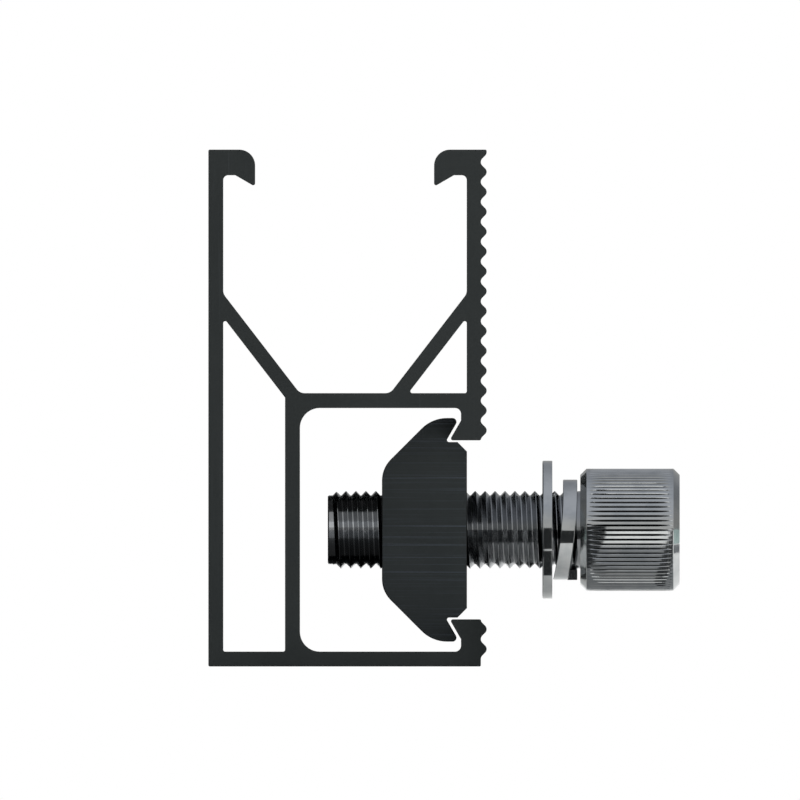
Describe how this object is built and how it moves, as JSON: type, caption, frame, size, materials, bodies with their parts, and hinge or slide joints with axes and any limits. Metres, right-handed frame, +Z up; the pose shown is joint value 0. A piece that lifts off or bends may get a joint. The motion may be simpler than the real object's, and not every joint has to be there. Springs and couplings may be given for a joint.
{
  "type": "solar mounting rail with channel nut and cap screw",
  "caption": "Short cut of solar mounting rail with an upper channel, a toothed side channel, a sliding channel nut, and a knurled cap screw carrying a spring washer and a flat washer.",
  "frame": {"origin": "centre of the rail's underside, midway along its length and between its plain side face and its tooth crests", "axes": "+Z up through the upper channel, +Y along the rail, +X out of the toothed face towards the screw's head"},
  "size_m": [0.0474, 0.05, 0.052],
  "materials": {
    "dark_anodised_rail": "charcoal anodised extrusion, satin",
    "dark_anodised_nut": "charcoal anodised extrusion, satin",
    "screw_steel": "bright machined steel, knurled head",
    "washer_steel": "bright stamped steel",
    "spring_steel": "bright drawn spring steel"
  },
  "bodies": {
    "rail": {"mounting_rail": "dark_anodised_rail"},
    "nut": {"channel_nut": "dark_anodised_nut"},
    "washers": {"flat_washer": "washer_steel", "spring_washer": "spring_steel"},
    "screw": {"cap_screw": "screw_steel"}
  },
  "joints": [
    {"name": "nut_slide", "type": "slide", "parent": "rail", "child": "nut", "axis": [0, 1, 0], "range_m": [-0.015, 0.015]},
    {"name": "screw_advance", "type": "slide", "parent": "nut", "child": "washers", "axis": [-1, 0, 0], "range_m": [-0.01, 0.0025]},
    {"name": "screw_turn", "type": "hinge", "parent": "washers", "child": "screw", "pos_m": [0.02341, 0, 0.01375], "axis": [-1, 0, 0], "range_deg": [-3600, 900]}
  ],
  "couplings": [
    {"joint": "screw_advance", "follows": "screw_turn", "m_per_rad": 0.00015915}
  ]
}
